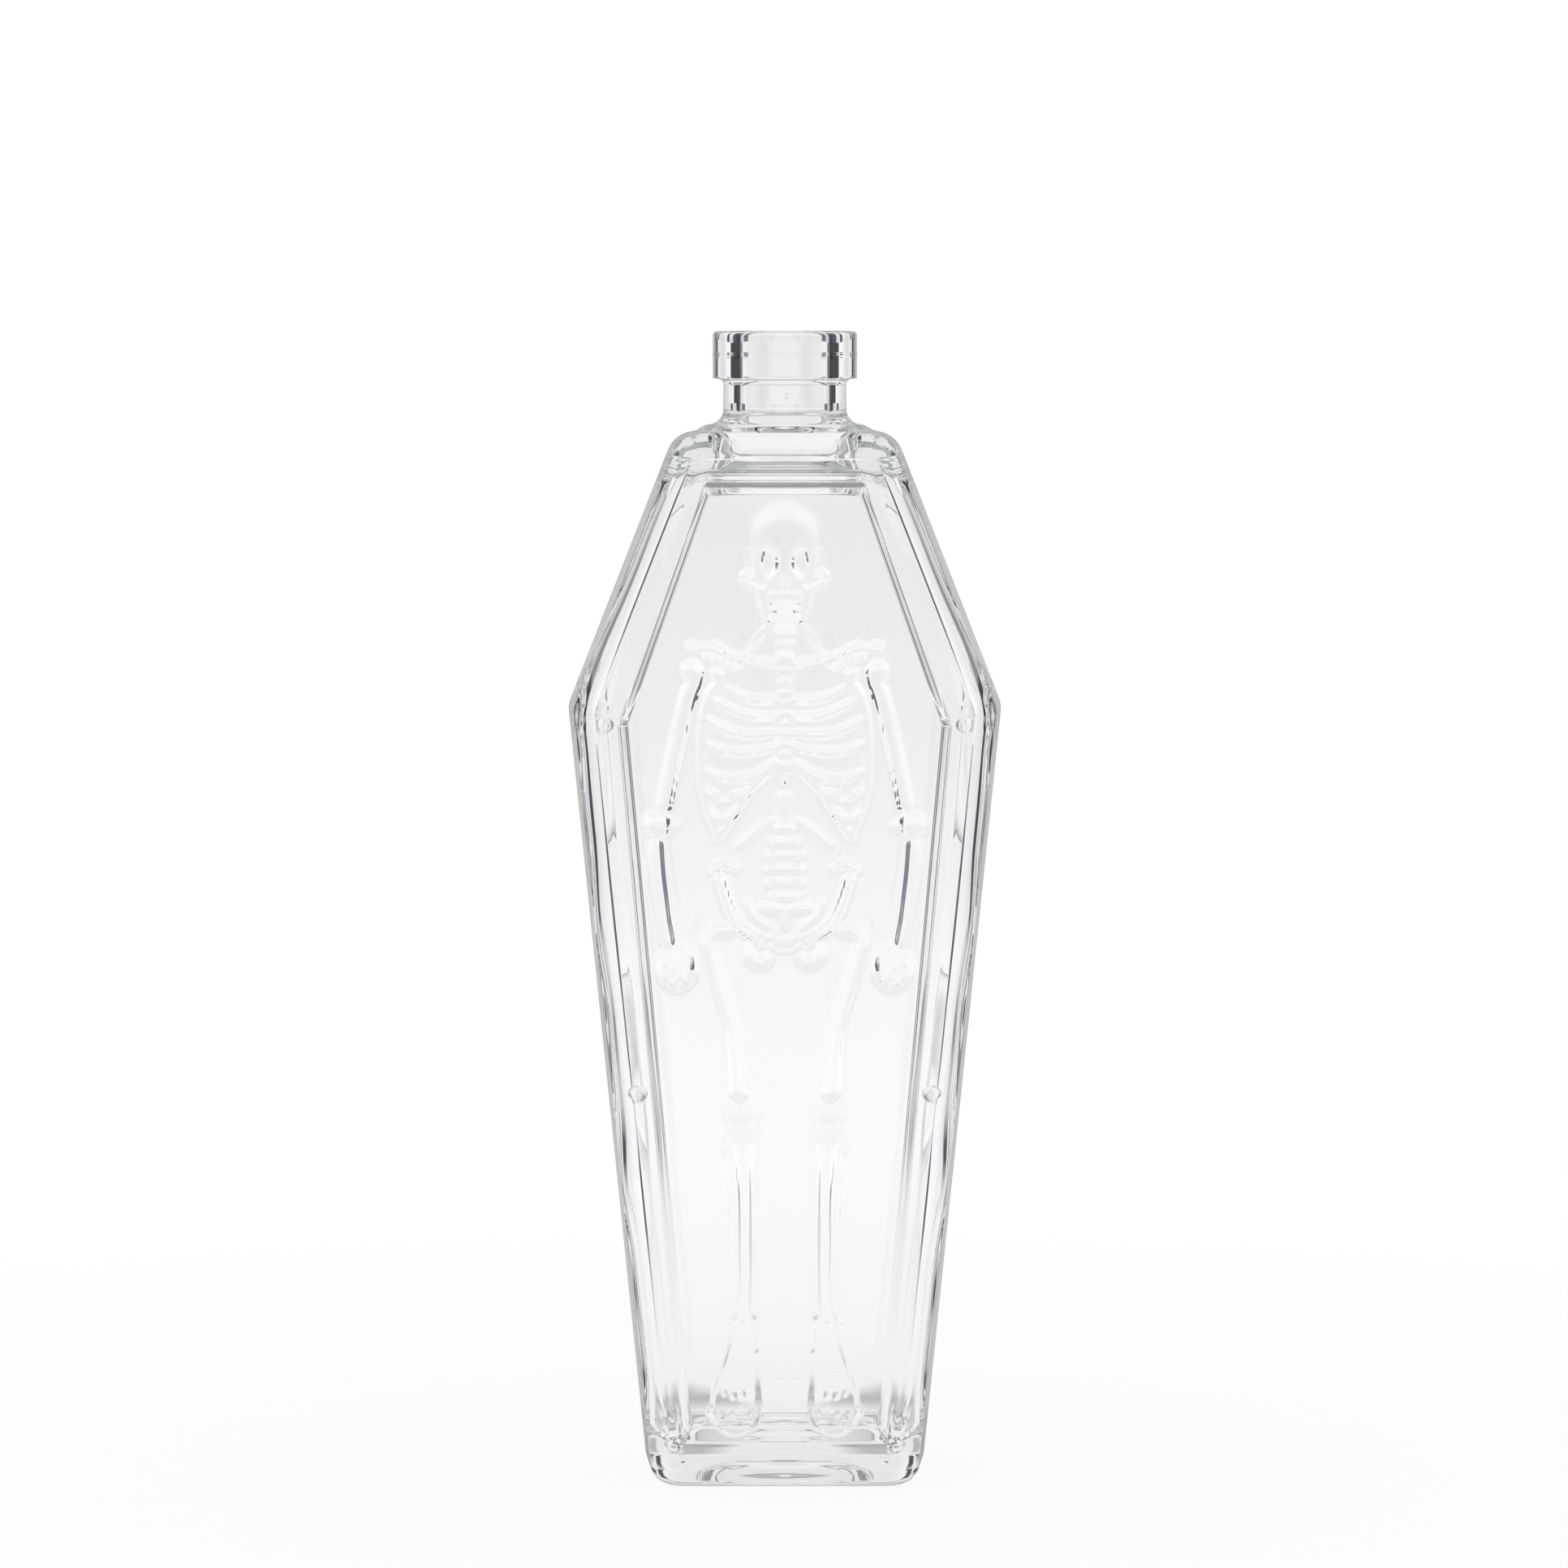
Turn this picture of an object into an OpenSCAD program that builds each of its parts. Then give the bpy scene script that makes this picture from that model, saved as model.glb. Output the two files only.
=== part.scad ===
// Clear glass poison bottle in the shape of a coffin, with a skeleton in relief on its front.
// Z is up and the front faces -Y. The origin is under the middle of the bottle, on the table.
// The relief and the nail heads are raised glass of the same moulding, seated on its flat faces.

/* [Body] */
// Height from the table to the top of the shoulders
body_h = 215.2; // [200:0.2:240]
// Width of the body where its sides would meet the table
foot_w = 57; // [52:0.5:66]
// Greatest width of the body, at the coffin's elbows
elbow_w = 89.2; // [84:0.2:100]
// Height of the coffin's elbows
elbow_z = 159; // [145:0.5:168]
// Width of the body where its sides would meet the shoulders
shoulder_w = 45; // [42:0.5:54]
// Depth of the body from front to back
body_d = 48; // [44:0.5:60]
// Rounding of the heel, the shoulders and the front and back edges
edge_r = 5; // [3:0.25:5.5]

/* [Glass] */
// Wall at the sides and the back
wall = 4; // [3:0.25:5]
// Wall behind the front panel
front_wall = 4; // [3:0.25:5.5]
// Glass between the push-up and the inside
floor_t = 7; // [5:0.5:10]
// Glass over the inside at the shoulders
crown_t = 4.5; // [3.5:0.25:6]
// Rounding of the corners of the inside
inside_r = 6; // [4:0.5:8]
// Depth of the push-up under the foot
push_up = 2; // [1:0.25:3]
// Width of the ring of glass that the bottle stands on, inside the heel rounding
stand_ring = 4; // [2:0.25:6]

/* [Neck] */
// Outside diameter of the neck
neck_d = 25.2; // [24:0.1:27]
// Length of the neck from the shoulder to the collar
neck_len = 9; // [6:0.25:16]
// Rise of the shoulder from its edge to the foot of the neck
shoulder_rise = 1.7; // [1:0.1:4]
// Flat left between the shoulder's slope and the rounded edges
shoulder_flat = 0.5; // [0.2:0.1:2]
// Fillet between the shoulder and the neck
neck_fillet = 1.6; // [0.8:0.1:2.5]
// Outside diameter of the collar round the mouth
collar_d = 29.6; // [28.5:0.1:31]
// Height of the collar
collar_h = 9.7; // [8:0.1:12]
// Rounding of the lip
lip_r = 0.9; // [0.5:0.1:1.4]
// Width of the mould's parting ring round the collar
parting_w = 0.9; // [0.5:0.1:1.5]
// How far the parting ring stands out
parting_rise = 0.15; // [0.1:0.05:0.3]
// Bore of the mouth and neck
bore_d = 18.5; // [17:0.1:19.5]
// Width that the bore flares by, all round, where it opens into the inside
bore_flare = 2; // [1:0.25:3]

/* [Front panel] */
// Depth of the sunk panel below the frame
panel_depth = 2.5; // [2.3:0.1:3.5]
// Frame from the body's side to the opening, at its foot
frame_foot_w = 8.9; // [8.6:0.1:11]
// Frame from the body's side to the opening, at its elbows
frame_elbow_w = 10.7; // [9.8:0.1:13]
// Frame from the body's side to the opening, at its top
frame_top_w = 10.2; // [8.8:0.1:12]
// Height of the frame's foot
frame_foot_h = 9.8; // [9.2:0.1:14]
// Height of the frame's top, down from the shoulders
frame_top_h = 9.9; // [6:0.1:14]
// How far the opening's elbows lie below the coffin's elbows
elbow_drop = 2.8; // [0:0.1:5]
// Slope of the panel's long sides, measured across the front
side_bevel = 1.4; // [0.6:0.1:1.6]
// Slope of the panel's two ends, measured up the front
end_bevel = 2.7; // [1.5:0.1:2.8]

/* [Nail heads] */
// Diameter of the six round nail heads
nail_d = 3.6; // [3:0.1:4]
// How far a nail head stands out from the frame
nail_rise = 1.2; // [0.8:0.1:1.6]
// Distance of a nail from the opening's edge
nail_gap = 2.7; // [2.4:0.1:3]
// How far the lowest nails lie below the opening
nail_drop = 0.8; // [0:0.1:2]
// Share of the way from the lowest nails to the elbow nails where the middle ones are
nail_share = 0.49; // [0.3:0.01:0.7]

/* [Skeleton] */
// Panel left clear above the skull
head_room = 0.9; // [0.3:0.1:6]
// Panel left clear below the toes
foot_room = 0.8; // [0.3:0.1:6]
// Panel left clear beside the hands, on each side
hand_room = 0.9; // [0.3:0.1:4]
// Height of the thin bones above the panel
bone_rise = 1.3; // [0.8:0.1:1.7]
// Height of the skull, hands and feet above the panel
head_rise = 2; // [1.2:0.1:2.2]
// Thickness of a rib
rib_w = 2; // [1.4:0.1:2.4]
// Thickness of a forearm bone at its middle
forearm_w = 2.1; // [1.6:0.1:2.6]
// Thickness of the shin bone at its middle
shin_w = 3; // [2.2:0.1:3.6]
// Thickness of the thigh bone at its middle
thigh_w = 3.4; // [2.6:0.1:4]

/* [Hidden] */
glass = [0.84, 0.88, 0.87];
relief_glass = [0.93, 0.95, 0.95];
round_fn = 96;
hull_fn = 32;
skull_fn = 20;
bone_fn = 10;
// Thickness of the thin plates that the sloping walls of the panel and the push-up hang between
film = 0.01;
// The nail heads stand out at the front, so the glass sits back by half of that
mid_y = nail_rise / 2;
front_y = mid_y - body_d / 2;
panel_y = front_y + panel_depth;
inside_front = panel_y + front_wall;
inside_back = mid_y + body_d / 2 - wall;
neck_z = body_h + shoulder_rise;
collar_z = neck_z + neck_len;
top_z = collar_z + collar_h;
inside_top = body_h - crown_t;
inside_floor = push_up + floor_t;
// The coffin's outline: foot, elbow and shoulder, as [half width, height]
coffin = [[foot_w / 2, 0], [elbow_w / 2, elbow_z], [shoulder_w / 2, body_h]];
// The opening in the frame, and the panel at the foot of its sloping walls
opening_top = body_h - frame_top_h;
opening_elbow = elbow_z - elbow_drop;
opening = [[half_width(coffin, frame_foot_h) - frame_foot_w, frame_foot_h],
           [half_width(coffin, opening_elbow) - frame_elbow_w, opening_elbow],
           [half_width(coffin, opening_top) - frame_top_w, opening_top]];
panel = [opening[0] + [-side_bevel, end_bevel], opening[1] - [side_bevel, 0],
         opening[2] - [side_bevel / 2, end_bevel]];
// The skeleton is drawn standing 188 high and 27 wide on each side of its middle, soles at 0
drawn_h = 188.6;
drawn_w = 26.9;
drawn_hands = 92;
figure_z = panel[0].y + foot_room;
fit_z = (panel[2].y - head_room - figure_z) / drawn_h;
fit_x = (half_width(panel, figure_z + drawn_hands * fit_z) - hand_room) / drawn_w;
// The thicknesses that are set above, as they measure on the drawn figure
rib = rib_w / fit_x;
forearm = forearm_w / fit_x;
shin = shin_w / fit_x;
thigh = thigh_w / fit_x;

// Half the width of an outline of foot, elbow and shoulder, at height z
function half_width(half, z) = lookup(z, [for (p = half) [p.y, p.x]]);

function both_sides(half) =
    concat(half, [for (i = [len(half) - 1 : -1 : 0]) [-half[i].x, half[i].y]]);

function edge_normal(a, b) = [b.y - a.y, a.x - b.x] / norm(b - a);

// The outline moved inwards by d all round. Its points run anticlockwise.
function inset(points, d) =
    let (n = len(points))
    [for (i = [0 : n - 1])
        let (before = edge_normal(points[(i + n - 1) % n], points[i]))
        let (after = edge_normal(points[i], points[(i + 1) % n]))
        points[i] - d * (before + after) / (1 + before * after)];

function arc(centre, r, from, to, steps) =
    [for (i = [0 : steps])
        let (a = from + (to - from) * i / steps)
        centre + r * [cos(a), sin(a)]];

function mirrored(points, side) = [for (p = points) [side * p.x, p.y]];

// Stands a flat outline up across the bottle, from the depth y0 to the depth y1
module upright(y0, y1) {
    translate([0, y1, 0])
        rotate([90, 0, 0])
            linear_extrude(y1 - y0)
                children();
}

// A slab between y0 and y1 whose outline is rounded, and whose front and back edges are too
module pillow(points, y0, y1, r) {
    core = inset(points, r);
    hull()
        for (a = [0 : 15 : 90])
            upright(y0 + r * (1 - sin(a)), y1 - r * (1 - sin(a)))
                offset(r = r * cos(a), $fn = hull_fn)
                    polygon(core);
}

// The solid that sinks the panel: wide at the frame, narrower at the panel itself
module panel_cut() {
    hull() {
        upright(front_y - film, front_y)
            polygon(both_sides(opening));
        upright(panel_y - film, panel_y)
            polygon(both_sides(panel));
    }
}

// The hollow under the foot, which leaves a ring of glass to stand on
module foot_cut() {
    x = foot_w / 2 - edge_r - stand_ring;
    y = body_d / 2 - edge_r - stand_ring;
    slope = 2 * push_up;
    translate([0, mid_y, 0])
        hull() {
            translate([-x, -y, -film])
                cube([2 * x, 2 * y, film]);
            translate([slope - x, slope - y, push_up - film])
                cube([2 * (x - slope), 2 * (y - slope), film]);
        }
}

// Turned outline of the shoulder's slope, the neck, the collar and the lip
module neck_solid() {
    r_neck = neck_d / 2;
    r_collar = collar_d / 2;
    r_slope = min(body_d / 2 - edge_r, inset(both_sides(coffin), edge_r)[2].x) - shoulder_flat;
    seam_z = collar_z + collar_h / 2;
    profile = concat(
        [[0, inside_top + film], [r_slope, inside_top + film], [r_slope, body_h]],
        arc([r_neck + neck_fillet, neck_z + neck_fillet], neck_fillet, 262, 180, 5),
        [[r_neck, collar_z], [r_collar, collar_z], [r_collar, seam_z - parting_w / 2],
         [r_collar + parting_rise, seam_z], [r_collar, seam_z + parting_w / 2]],
        arc([r_collar - lip_r, top_z - lip_r], lip_r, 0, 90, 5),
        [[0, top_z]]);
    translate([0, mid_y, 0])
        rotate_extrude($fn = round_fn)
            polygon(profile);
}

// The straight bore, its rounded lip and the flare at its foot
module bore_cut() {
    r = bore_d / 2;
    flare_foot = inside_top - inside_r;
    profile = concat(
        [[0, flare_foot], [r + bore_flare, flare_foot], [r + bore_flare, inside_top],
         [r, neck_z]],
        arc([r + lip_r, top_z - lip_r], lip_r, 180, 90, 4),
        [[r + lip_r, top_z + lip_r], [0, top_z + lip_r]]);
    translate([0, mid_y, 0])
        rotate_extrude($fn = round_fn)
            polygon(profile);
}

// The glass itself: one hollow moulding from the foot to the lip
module bottle() {
    outside = both_sides(coffin);
    inside = [for (p = inset(outside, wall)) [p.x, min(max(p.y, inside_floor), inside_top)]];
    color(glass)
        difference() {
            union() {
                pillow(outside, front_y, front_y + body_d, edge_r);
                neck_solid();
            }
            pillow(inside, inside_front, inside_back, inside_r);
            panel_cut();
            foot_cut();
            bore_cut();
        }
}

// The domed heads of the coffin's nails, standing on the frame
module nail_heads() {
    r = nail_d / 2;
    ball_r = (r * r + nail_rise * nail_rise) / (2 * nail_rise);
    foot_z = frame_foot_h - nail_drop;
    shin_z = foot_z + nail_share * (opening_elbow - foot_z);
    color(relief_glass)
        for (side = [-1, 1], z = [foot_z, shin_z, opening_elbow])
            translate([side * (half_width(opening, z) + nail_gap), front_y, z])
                rotate([90, 0, 0])
                    intersection() {
                        translate([0, 0, nail_rise - ball_r])
                            sphere(ball_r, $fn = round_fn);
                        cylinder(h = nail_d, r = nail_d);
                    }
}

// A flattened ball centred on the panel, at p on the drawn figure, w wide and h high on it
module knob(p, w, h, rise, fn = bone_fn) {
    translate([p.x * fit_x, panel_y, figure_z + p.y * fit_z])
        scale([w * fit_x, rise * 2, h * fit_z])
            sphere(d = 1, $fn = fn);
}

// A bone between two points on the panel, as thick as wa at one end and wb at the other
module bone(a, b, wa, wb, rise = bone_rise) {
    hull() {
        knob(a, wa, wa, rise);
        knob(b, wb, wb, rise);
    }
}

// A curved bone through a few points
module chain(points, w, rise = bone_rise) {
    for (i = [0 : len(points) - 2])
        bone(points[i], points[i + 1], w, w, rise);
}

// Keeps what stands in front of the panel, so that every bone has a flat back
module seated() {
    color(relief_glass)
        intersection() {
            union()
                children();
            translate([-elbow_w / 2, front_y, 0])
                cube([elbow_w, panel_depth, body_h]);
        }
}

// Skull: cranium, cheekbones and jaw, with sunk eyes and nose and a gap between the teeth
module skull() {
    hollow = [0, -head_rise, 0];
    seated()
        difference() {
            union() {
                knob([0, 179.4], 16.4, 18.4, head_rise, skull_fn);
                for (side = [-1, 1]) {
                    bone([side * 4.4, 173.8], [side * 8, 175], 2.2, 1.8, head_rise);
                    bone([side * 6, 172.8], [side * 4, 166.4], 3, 2.6, head_rise * 0.8);
                    bone([side * 1.1, 169.4], [side * 2.8, 169.6], 2, 1.8, head_rise);
                    bone([side * 1.1, 166.8], [side * 2.6, 167], 2, 1.8, head_rise);
                }
                knob([0, 172.8], 8, 9, head_rise, skull_fn);
                bone([-1.8, 165.1], [1.8, 165.1], 2.8, 2.8, head_rise * 0.9);
            }
            translate(hollow) {
                for (side = [-1, 1])
                    knob([side * 3.2, 175.2], 4.6, 6, head_rise * 0.9, skull_fn);
                hull() {
                    knob([0, 174.2], 1, 1.6, head_rise * 0.7);
                    bone([-0.8, 171.8], [0.8, 171.8], 1, 1, head_rise * 0.7);
                }
                bone([-3.6, 168.1], [3.6, 168.1], 0.7, 0.7, head_rise * 0.8);
            }
        }
}

// The bones of the neck, and those between the ribs and the pelvis
module backbone() {
    necks = [[2.3, 161.9], [2.6, 159.7]];
    loins = [[2.5, 121.7], [4.2, 116.6], [3.3, 113.7], [2.7, 110.9], [2.4, 108.2]];
    for (v = concat(necks, loins))
        bone([1.1 - v.x, v.y], [v.x - 1.1, v.y], 2.2, 2.2);
    bone([0, 162], [0, 158.4], 2.2, 2.6, bone_rise * 0.8);
    bone([0, 126], [0, 106.8], 2.4, 2.8, bone_rise * 0.8);
}

// Backbone, in its two visible lengths
module spine() {
    seated()
        backbone();
}

// Ribs of one side, from the edge of the cage to the breastbone
module rib_side(side) {
    ribs = [[[12.5, 150.8], [8.4, 148.5], [1.6, 147.8]],
            [[16.3, 148.8], [11.7, 146.6], [6.9, 144.7], [1.6, 144.7]],
            [[17, 144.7], [13.2, 142.5], [8.4, 140.9], [1.6, 141.3]],
            [[17.4, 139.4], [13.2, 137.7], [9.1, 137], [1.6, 138.2]],
            [[17.3, 134.4], [13, 132.5], [8.4, 132.2], [1.6, 135]],
            [[16.8, 129.4], [12.6, 127.8], [7, 129]],
            [[16, 124.8], [13, 123.4], [9.4, 124.8]],
            [[13.4, 120.2], [10.6, 122.6], [8.7, 125.7], [6.6, 129.4], [1.4, 132.8]],
            [[9.1, 118.3], [5.3, 121.7], [2.2, 123.2]]];
    edge = [[15.2, 150], [17.2, 145.4], [17.8, 139.8], [17.5, 131.8], [16.6, 126.4], [14.2, 120.7]];
    for (points = concat(ribs, [edge]))
        chain(mirrored(points, side), rib);
}

// Collar bone and shoulder blade of one side
module shoulder_side(side) {
    chain(mirrored([[19.5, 159.2], [14.2, 159.2], [10.7, 157.2], [2, 155.6]], side), rib);
    bone([side * 16, 156.4], [side * 9.7, 153.8], 2.4, 1.8);
    bone([side * 14.2, 154.4], [side * 12.6, 150.2], 3.4, 2.2, bone_rise * 0.8);
}

// Rib cage: breastbone, ribs, collar bones and shoulder blades, in front of the backbone
module rib_cage() {
    seated()
        difference() {
            union() {
                for (side = [-1, 1]) {
                    rib_side(side);
                    shoulder_side(side);
                }
                bone([0, 155.4], [0, 151.8], 5.4, 4, bone_rise * 1.2);
                bone([0, 151.8], [0, 135.2], 3.6, 4, bone_rise * 1.2);
                bone([0, 133.8], [0, 131], 2.6, 1.4);
            }
            backbone();
        }
}

// The two wings and rings of the pelvis, with the sacrum between them
module hips() {
    bone([0, 106.2], [0, 101.4], 9, 4);
    for (side = [-1, 1]) {
        hull() {
            knob([side * 13.4, 111.2], 4, 4, bone_rise);
            knob([side * 9.4, 113], 3, 3, bone_rise);
            knob([side * 10.4, 102.4], 3.4, 3.4, bone_rise);
            knob([side * 4.6, 106.4], 3, 3, bone_rise);
        }
        bone([side * 10.4, 102.4], [side * 8.4, 98.6], 3.4, 3);
        difference() {
            knob([side * 5.2, 96.4], 8.4, 9, bone_rise, skull_fn);
            knob([side * 5.4, 96.2], 3.4, 4, bone_rise * 4);
        }
    }
    bone([-2.4, 98], [2.4, 98], 2.4, 2.4);
}

// Pelvis, at the foot of the backbone
module pelvis() {
    seated()
        difference() {
            hips();
            backbone();
        }
}

// Arm hanging at one side: upper arm, elbow, two forearm bones and the closed hand
module arm(side) {
    seated() {
        bone([side * 19.6, 153.4], [side * 19.2, 154.4], 4.6, 3.4, head_rise * 0.9);
        bone([side * 19.9, 151.8], [side * 21.9, 139.5], 4.4, 3.2);
        bone([side * 21.9, 139.5], [side * 24.2, 127.2], 3.2, 4);
        knob([side * 25.4, 122.8], 6.6, 6.2, head_rise * 0.9);
        bone([side * 26.3, 119.4], [side * 25.6, 108.8], 3, forearm);
        bone([side * 25.6, 108.8], [side * 23.8, 98.2], forearm, 2.6);
        bone([side * 24, 119.4], [side * 23, 108.8], 2.4, forearm);
        bone([side * 23, 108.8], [side * 21.2, 98.2], forearm, 2.6);
        knob([side * 22.2, 93.4], 8, 8.4, head_rise * 0.8);
        for (i = [0 : 3])
            bone([side * (25.2 - i * 2), 91.2 - i * 0.6], [side * (24.4 - i * 1.9), 87.2 - i * 0.2],
                 2.3, 1.8, head_rise);
        bone([side * 18.8, 93.6], [side * 19.6, 89], 2.2, 1.8, head_rise);
    }
}

// Leg of one side: thigh bone, kneecap, shin bones, ankle and foot, clear of the pelvis
module leg(side) {
    seated()
        difference() {
            union() {
                knob([side * 11.6, 99.2], 4, 4, head_rise * 0.9);
                bone([side * 15.6, 99], [side * 14.8, 94.8], 3.2, 3.8);
                bone([side * 11.6, 99.2], [side * 14.6, 94.4], 3, 3.4);
                bone([side * 14.6, 94.4], [side * 11.6, 81.8], 4.4, thigh);
                bone([side * 11.6, 81.8], [side * 10, 70.8], thigh, 4.2);
                bone([side * 10, 70.8], [side * 9.2, 65.8], 4.2, 6.4);
                bone([side * 11.4, 63.2], [side * 6.8, 63.2], 4.2, 4.2, head_rise * 0.8);
                bone([side * 11.6, 58.8], [side * 6.2, 58.8], 3.4, 3.4, head_rise * 0.8);
                bone([side * 8.9, 57.8], [side * 8.5, 49.8], 5.6, shin);
                bone([side * 8.5, 49.8], [side * 8.5, 26.8], shin, shin);
                bone([side * 8.5, 26.8], [side * 8.9, 21.2], shin, 4.4);
                bone([side * 12.9, 55], [side * 11.5, 48.8], 2.6, 1.6);
                bone([side * 11.5, 48.8], [side * 11.2, 24.8], 1.6, 1.6);
                knob([side * 12, 21], 2.6, 3.6, bone_rise);
                knob([side * 6.2, 21.4], 2.4, 3.2, bone_rise);
                bone([side * 9.2, 18.8], [side * 9.8, 11.8], 5, 6.4, head_rise * 0.8);
                for (i = [0 : 4]) {
                    bone([side * (8 + i * 0.95), 12.2], [side * (6.6 + i * 1.95), 4.2 - i * 0.3],
                         2, 1.9, head_rise * 0.9);
                    knob([side * (6.5 + i * 2), 2.5 - i * 0.3], 1.9, 2.4, head_rise * 0.9);
                }
            }
            hips();
        }
}

module left_arm() arm(-1);
module right_arm() arm(1);
module left_leg() leg(-1);
module right_leg() leg(1);

bottle();
nail_heads();
skull();
spine();
rib_cage();
pelvis();
left_arm();
right_arm();
left_leg();
right_leg();
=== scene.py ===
import math

import bmesh
import bpy
import numpy as np
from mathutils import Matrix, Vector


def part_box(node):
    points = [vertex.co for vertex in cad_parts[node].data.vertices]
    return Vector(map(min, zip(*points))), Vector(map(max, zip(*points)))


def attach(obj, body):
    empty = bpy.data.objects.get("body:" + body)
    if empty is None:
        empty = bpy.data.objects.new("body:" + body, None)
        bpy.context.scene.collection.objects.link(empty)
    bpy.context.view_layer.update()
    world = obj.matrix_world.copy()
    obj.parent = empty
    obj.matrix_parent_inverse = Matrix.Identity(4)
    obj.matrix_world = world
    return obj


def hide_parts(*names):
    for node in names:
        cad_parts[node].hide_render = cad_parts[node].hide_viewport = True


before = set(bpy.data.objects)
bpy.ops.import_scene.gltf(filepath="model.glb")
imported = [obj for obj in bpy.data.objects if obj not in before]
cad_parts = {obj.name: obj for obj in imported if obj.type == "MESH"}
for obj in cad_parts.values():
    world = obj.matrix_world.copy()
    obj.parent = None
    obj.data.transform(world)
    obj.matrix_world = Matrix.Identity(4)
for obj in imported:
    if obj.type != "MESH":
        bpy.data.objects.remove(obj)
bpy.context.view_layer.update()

MM = 0.001

# Camera
# A long lens about as far off as a product photographer stands, a little above the mouth of the bottle and
# looking down at its middle, as in the photograph.
aside, stand_off, eye_height = -0.00017, 1.4, 0.245
look_down = 4.185
bpy.ops.object.camera_add(location=(aside, -stand_off, eye_height))
camera = bpy.context.object
camera.name = "camera"
camera.data.lens = 156.5
camera.data.sensor_width = 36
camera.rotation_euler = (math.radians(90 - look_down), 0, 0)
bpy.context.scene.camera = camera

# Body of the bottle
# A deep coffin-shaped block of glass with rounded edges, blown in a two-part mould. It is laid out as level
# rings of points, from the middle of the foot up to the shoulders, closest where the front carries relief.
glass_low, glass_high = (np.array(c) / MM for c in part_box("bottle"))
front_y, back_y = glass_low[1], glass_high[1]
mid_y = (front_y + back_y) / 2
half_depth = (back_y - front_y) / 2
foot_half, elbow_half, shoulder_half = 28.5, 44.6, 22.5
elbow_z, body_top = 159.0, 215.2
elbow_soft = 0.7
front_r, back_r, corner_r, heel_r = 7.5, 5.0, 6.2, 3.8
least_front_r, least_back_r, edge_shrink = 1.5, 1.2, 0.8
draft = math.radians(4.4)
# The step round the flat frame: its height, the heights where it starts and ends, and how the points of its
# flank lie across it and down it.
frame_step = 0.8
step_foot, step_top = (4, 10), (209.8, 210.05)
step_across, step_down = (0, 0.13, 0.49, 0.62), (1, 0.87, 0.13)
# The opening in the frame, as half width and height, with the bevels that lead down to the sunk panel.
opening_foot, opening_elbow, opening_top = (20.6, 9.8), (33.6, 156.2), (16.1, 205.3)
side_bevel, end_bevel, panel_depth = 1.6, 2.7, 2.5
margin, bevel_foot, least_frame = 0.7, 0.6, 1.6
middle_steps, slope_steps, frame_steps = 104, 11, 5
arc_steps, side_count, back_count = 7, 10, 20


def soft_max(a, b, k):
    """The larger of a and b, with the crease between them melted over k."""
    h = np.clip(0.5 + (a - b) / (2 * k), 0, 1)
    return b + (a - b) * h + k * h * (1 - h)


def soft_min(a, b, k):
    """The smaller of a and b, with the crease between them melted over k."""
    return -soft_max(-a, -b, k)


def opening_half(z):
    """Half width of the opening in the frame at height z."""
    return np.interp(z, [opening_foot[1], opening_elbow[1], opening_top[1]],
                     [opening_foot[0], opening_elbow[0], opening_top[0]])


def side_half(z):
    """Half width of the coffin's outline at height z, before its ends are rounded."""
    lower = foot_half + (elbow_half - foot_half) * z / elbow_z
    upper = elbow_half - (elbow_half - shoulder_half) * (z - elbow_z) / (body_top - elbow_z)
    return soft_min(lower, upper, elbow_soft)


lean = math.atan2(elbow_half - shoulder_half, body_top - elbow_z)
corner_z = body_top - corner_r
corner_x = side_half(corner_z) - corner_r / math.cos(lean)


def heel(z):
    """How far the rounded heel draws the foot in at height z."""
    return heel_r - math.sqrt(max(0.0, heel_r ** 2 - (heel_r - min(z, heel_r)) ** 2))


def rounded(z, r):
    """How far an edge of radius r draws the front or back in at height z, near the shoulders."""
    over = max(0.0, z - body_top + r)
    return r - math.sqrt(max(0.0, r * r - over * over))


def body_section(z):
    """Half width, distances of front and back from the middle, and step round the frame at height z."""
    wide = side_half(z) - heel(z)
    if z > corner_z + corner_r * math.sin(lean):
        wide = corner_x + math.sqrt(max(0.0, corner_r ** 2 - (z - corner_z) ** 2))
    drop = rounded(z, front_r)
    if drop < frame_step:
        drop = frame_step * np.interp(z, step_top, [0, 1])
    step = frame_step * np.interp(z, [*step_foot, *step_top], [0, 1, 1, 0])
    return wide, half_depth - heel(z) - drop, half_depth - heel(z) - rounded(z, back_r), step


def front_places(z, flat, even):
    """Places of the points across the front at height z: evenly spaced, or following the opening."""
    evenly = np.linspace(-flat, flat, middle_steps + 2 * slope_steps + 2 * frame_steps + 1)
    if even >= 1:
        return evenly
    outer = min(opening_half(z) + margin, flat - least_frame)
    inner = outer - margin - side_bevel - bevel_foot
    left = np.concatenate([[place - flat for place in step_across], [-(flat - step_across[-1] + outer) / 2],
                           np.linspace(-outer, -inner, slope_steps + 1)])
    middle = np.linspace(-inner, inner, middle_steps + 1)[1:-1]
    return np.concatenate([left, middle, -left[::-1]]) * (1 - even) + evenly * even


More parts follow.
